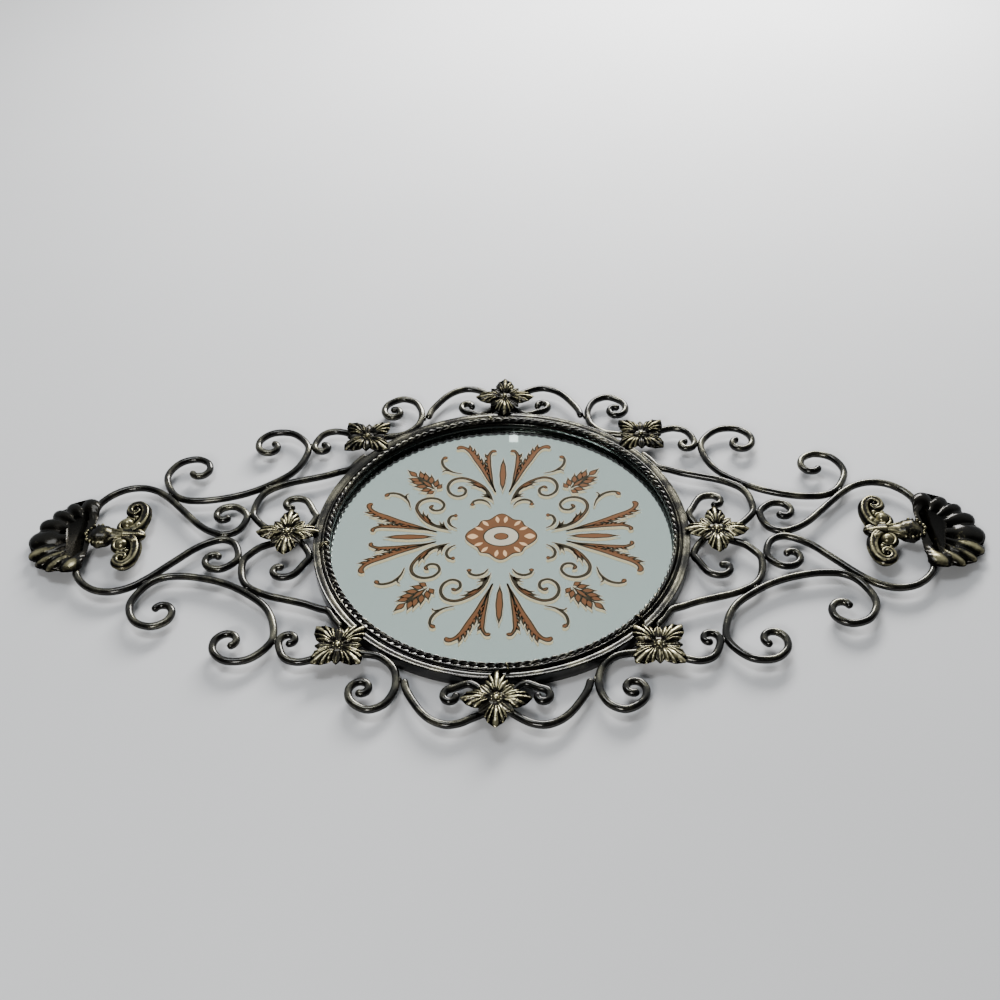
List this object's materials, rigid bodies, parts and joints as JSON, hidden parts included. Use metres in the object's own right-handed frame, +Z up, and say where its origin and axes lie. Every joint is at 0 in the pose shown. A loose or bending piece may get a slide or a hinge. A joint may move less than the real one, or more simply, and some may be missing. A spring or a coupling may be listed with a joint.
{
  "type": "wall mirror",
  "caption": "Round wall mirror in a ring with a rope moulding, set in a wide frame of scrolled metal bar with cast flowers and a cast shell at each side.",
  "frame": {"origin": "centre of the backing board's rear face, where the mirror lies on the wall", "axes": "+X to the right along the long side, +Y into the wall, +Z up; the glass faces -Y"},
  "size_m": [0.8472, 0.0177, 0.432],
  "materials": {
    "blackened_steel": "near black antique patina, rubbed to grey olive metal on the high places",
    "antique_gold": "pale aged gold on the ridges over dark hollows",
    "silvered_glass": "clear cool mirror",
    "painted_pattern": "copper brown and olive paint with a cream edge",
    "backing_board": "plain hardboard",
    "zinc_plate": "dull zinc plate"
  },
  "bodies": {
    "root": {"mirror_ring": "blackened_steel", "rope_ring": "blackened_steel", "mirror_glass": "silvered_glass", "back_board": "backing_board", "hanger_plate": "zinc_plate", "shell_scroll_top_right": "blackened_steel", "shell_scroll_top_left": "blackened_steel", "shell_scroll_bottom_right": "blackened_steel", "shell_scroll_bottom_left": "blackened_steel", "side_scroll_top_right": "blackened_steel", "side_scroll_top_left": "blackened_steel", "side_scroll_bottom_right": "blackened_steel", "side_scroll_bottom_left": "blackened_steel", "inner_scroll_top_right": "blackened_steel", "inner_scroll_top_left": "blackened_steel", "inner_scroll_bottom_right": "blackened_steel", "inner_scroll_bottom_left": "blackened_steel", "corner_scroll_top_right": "blackened_steel", "corner_scroll_top_left": "blackened_steel", "corner_scroll_bottom_right": "blackened_steel", "corner_scroll_bottom_left": "blackened_steel", "crest_scroll_top_right": "blackened_steel", "crest_scroll_top_left": "blackened_steel", "crest_scroll_bottom_right": "blackened_steel", "crest_scroll_bottom_left": "blackened_steel", "flower_top": "antique_gold", "flower_bottom": "antique_gold", "flower_left": "antique_gold", "flower_right": "antique_gold", "flower_top_right": "antique_gold", "flower_top_left": "antique_gold", "flower_bottom_right": "antique_gold", "flower_bottom_left": "antique_gold", "shell_right": "antique_gold", "shell_left": "antique_gold"}
  },
  "joints": []
}
